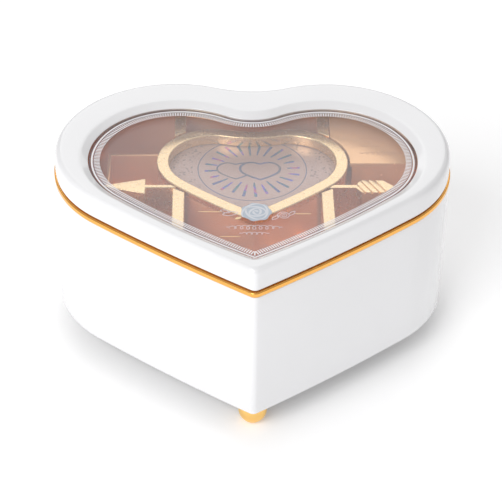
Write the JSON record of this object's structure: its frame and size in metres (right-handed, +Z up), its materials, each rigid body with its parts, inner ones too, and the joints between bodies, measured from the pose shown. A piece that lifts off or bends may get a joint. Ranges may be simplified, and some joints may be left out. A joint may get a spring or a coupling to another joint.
{
  "type": "wind-up music box",
  "caption": "Heart-shaped wind-up music box: white lacquered case with gilt trim, hinged glazed lid, compartmented gilt tray, sprung cylinder-and-comb movement and a key under the base.",
  "frame": {"origin": "centre of the bounding box in plan, on the surface the feet stand on", "axes": "+Z up, -Y towards the heart's tip, which is the front; +X to the right seen from the front"},
  "size_m": [0.1812, 0.1542, 0.0925],
  "materials": {
    "lacquer": "glossy white lacquer",
    "gilt_metal": "polished gold plating",
    "gilt_plastic": "vacuum-plated gold",
    "window": "clear with a printed border",
    "mirror": "mirror with holographic line art",
    "base": "matt black",
    "brass": "satin",
    "steel": "bright",
    "zinc": "nickel-plated casting",
    "nylon": "moulded nylon"
  },
  "bodies": {
    "case": {"case_body": "lacquer", "trim_band": "gilt_metal", "foot_front": "gilt_metal", "foot_left": "gilt_metal", "foot_right": "gilt_metal", "tray_pan": "gilt_plastic", "heart_ring": "gilt_plastic", "divider_front_left": "gilt_plastic", "divider_front_right": "gilt_plastic", "divider_rear_left": "gilt_plastic", "divider_rear_right": "gilt_plastic", "arrow_head": "gilt_plastic", "arrow_tail": "gilt_plastic", "message_plate": "gilt_plastic", "left_partition": "gilt_plastic", "heart_mirror": "mirror", "base_cover": "base", "hinge_case_leaf_left": "brass", "hinge_case_leaf_right": "brass", "foot_screw_front": "steel", "foot_screw_left": "steel", "foot_screw_right": "steel", "base_screw_left": "steel", "base_screw_right": "steel", "base_screw_cleft": "steel", "hinge_pin_left": "steel", "hinge_pin_right": "steel", "comb": "steel", "comb_screw_1": "steel", "comb_screw_2": "steel", "movement_screw_1": "steel", "movement_screw_2": "steel", "movement_screw_3": "steel", "bedplate": "zinc", "cylinder_bearing": "zinc", "idler_bearing": "zinc", "governor_frame": "zinc", "comb_support": "zinc", "lever_post": "zinc", "rod_guide": "zinc"},
    "lid": {"lid_frame": "lacquer", "lid_window": "window", "hinge_lid_leaf_left": "brass", "hinge_lid_leaf_right": "brass"},
    "winder": {"winding_arbor": "steel", "winding_key": "brass"},
    "barrel": {"spring_barrel": "brass", "barrel_cover": "brass", "mainspring": "steel", "crown_wheel": "brass"},
    "cylinder": {"cylinder": "brass", "cylinder_arbor": "steel", "cylinder_pinion": "brass", "cylinder_wheel": "brass"},
    "idler": {"idler_arbor": "steel", "worm_wheel": "nylon"},
    "governor": {"governor_worm": "steel", "governor_fan": "nylon"},
    "stop_rod": {"stop_rod": "steel"},
    "stop_lever": {"stop_lever": "steel"}
  },
  "joints": [
    {"name": "lid_hinge", "type": "hinge", "parent": "case", "child": "lid", "pos_m": [0, 0.07483, 0.0809], "axis": [-1, 0, 0], "range_deg": [0, 95]},
    {"name": "key_wind", "type": "hinge", "parent": "case", "child": "winder", "pos_m": [-0.012, 0.01783, 0.0188], "axis": [0, 0, 1], "continuous": true},
    {"name": "cylinder_spin", "type": "hinge", "parent": "case", "child": "cylinder", "pos_m": [-0.012, 0.01783, 0.0274], "axis": [1, 0, 0], "continuous": true},
    {"name": "barrel_spin", "type": "hinge", "parent": "case", "child": "barrel", "pos_m": [-0.012, 0.01783, 0.0188], "axis": [0, 0, 1], "continuous": true},
    {"name": "idler_spin", "type": "hinge", "parent": "case", "child": "idler", "pos_m": [-0.012, 0.02743, 0.0274], "axis": [1, 0, 0], "continuous": true},
    {"name": "governor_spin", "type": "hinge", "parent": "case", "child": "governor", "pos_m": [0.0256, 0.03333, 0.0274], "axis": [0, 0, 1], "continuous": true},
    {"name": "stop_rod_slide", "type": "slide", "parent": "case", "child": "stop_rod", "axis": [0, 0, 1], "range_m": [0, 0.00301]},
    {"name": "stop_lever_pivot", "type": "hinge", "parent": "case", "child": "stop_lever", "pos_m": [0.0256, 0.04883, 0.03159], "axis": [1, 0, 0], "range_deg": [0, 12.1]}
  ],
  "couplings": [
    {"joint": "barrel_spin", "follows": "cylinder_spin", "ratio": 0.25},
    {"joint": "idler_spin", "follows": "cylinder_spin", "ratio": -3.75},
    {"joint": "governor_spin", "follows": "cylinder_spin", "ratio": 75},
    {"joint": "stop_rod_slide", "follows": "lid_hinge", "m_per_rad": 0.00181},
    {"joint": "stop_lever_pivot", "follows": "lid_hinge", "ratio": 0.1268}
  ]
}
